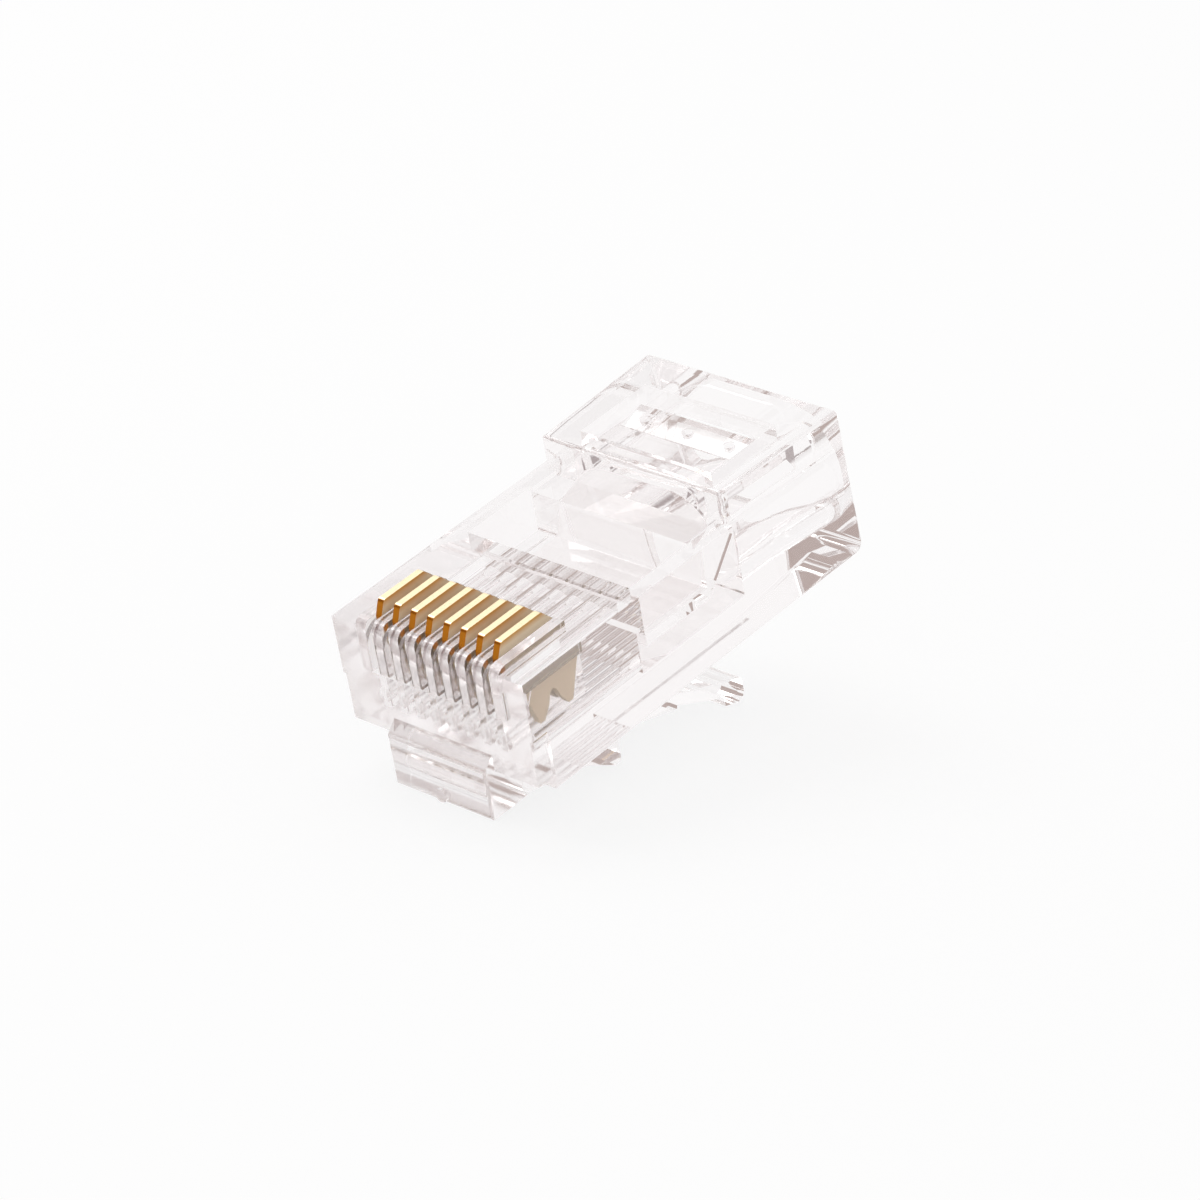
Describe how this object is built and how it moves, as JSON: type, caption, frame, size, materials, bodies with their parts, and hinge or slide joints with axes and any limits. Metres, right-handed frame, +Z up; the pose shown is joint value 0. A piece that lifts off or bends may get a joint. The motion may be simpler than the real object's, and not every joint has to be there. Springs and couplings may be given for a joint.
{
  "type": "rj45 modular plug",
  "caption": "Clear moulded modular plug with raised gold-plated blade contacts, a flexing latch and two cable clamp bars, before its cable is fitted.",
  "frame": {"origin": "middle of the resting plug's box, at table level", "axes": "+X from the contact end to the cable end, +Y across the width, +Z up. At rest the plug is pitched 15.59 degrees about Y, nose down."},
  "size_m": [0.0238, 0.0116, 0.0155],
  "materials": {
    "clear_polycarbonate": "polished clear",
    "gold_plated_contact": "gold plated, satin"
  },
  "bodies": {
    "housing": {"housing": "clear_polycarbonate"},
    "latch": {"latch": "clear_polycarbonate"},
    "contact_1": {"contact_1": "gold_plated_contact"},
    "contact_2": {"contact_2": "gold_plated_contact"},
    "contact_3": {"contact_3": "gold_plated_contact"},
    "contact_4": {"contact_4": "gold_plated_contact"},
    "contact_5": {"contact_5": "gold_plated_contact"},
    "contact_6": {"contact_6": "gold_plated_contact"},
    "contact_7": {"contact_7": "gold_plated_contact"},
    "contact_8": {"contact_8": "gold_plated_contact"}
  },
  "joints": [
    {"name": "latch_flex", "type": "hinge", "parent": "housing", "child": "latch", "pos_m": [-0.00797, 0, 0.00122], "axis": [0, -1, 0], "range_deg": [0, 17], "stiffness_Nm_per_rad": 0.4},
    {"name": "contact_1_crimp", "type": "slide", "parent": "housing", "child": "contact_1", "axis": [0.2687, 0, -0.9632], "range_m": [0, 0.0011]},
    {"name": "contact_2_crimp", "type": "slide", "parent": "housing", "child": "contact_2", "axis": [0.2687, 0, -0.9632], "range_m": [0, 0.0011]},
    {"name": "contact_3_crimp", "type": "slide", "parent": "housing", "child": "contact_3", "axis": [0.2687, 0, -0.9632], "range_m": [0, 0.0011]},
    {"name": "contact_4_crimp", "type": "slide", "parent": "housing", "child": "contact_4", "axis": [0.2687, 0, -0.9632], "range_m": [0, 0.0011]},
    {"name": "contact_5_crimp", "type": "slide", "parent": "housing", "child": "contact_5", "axis": [0.2687, 0, -0.9632], "range_m": [0, 0.0011]},
    {"name": "contact_6_crimp", "type": "slide", "parent": "housing", "child": "contact_6", "axis": [0.2687, 0, -0.9632], "range_m": [0, 0.0011]},
    {"name": "contact_7_crimp", "type": "slide", "parent": "housing", "child": "contact_7", "axis": [0.2687, 0, -0.9632], "range_m": [0, 0.0011]},
    {"name": "contact_8_crimp", "type": "slide", "parent": "housing", "child": "contact_8", "axis": [0.2687, 0, -0.9632], "range_m": [0, 0.0011]}
  ]
}
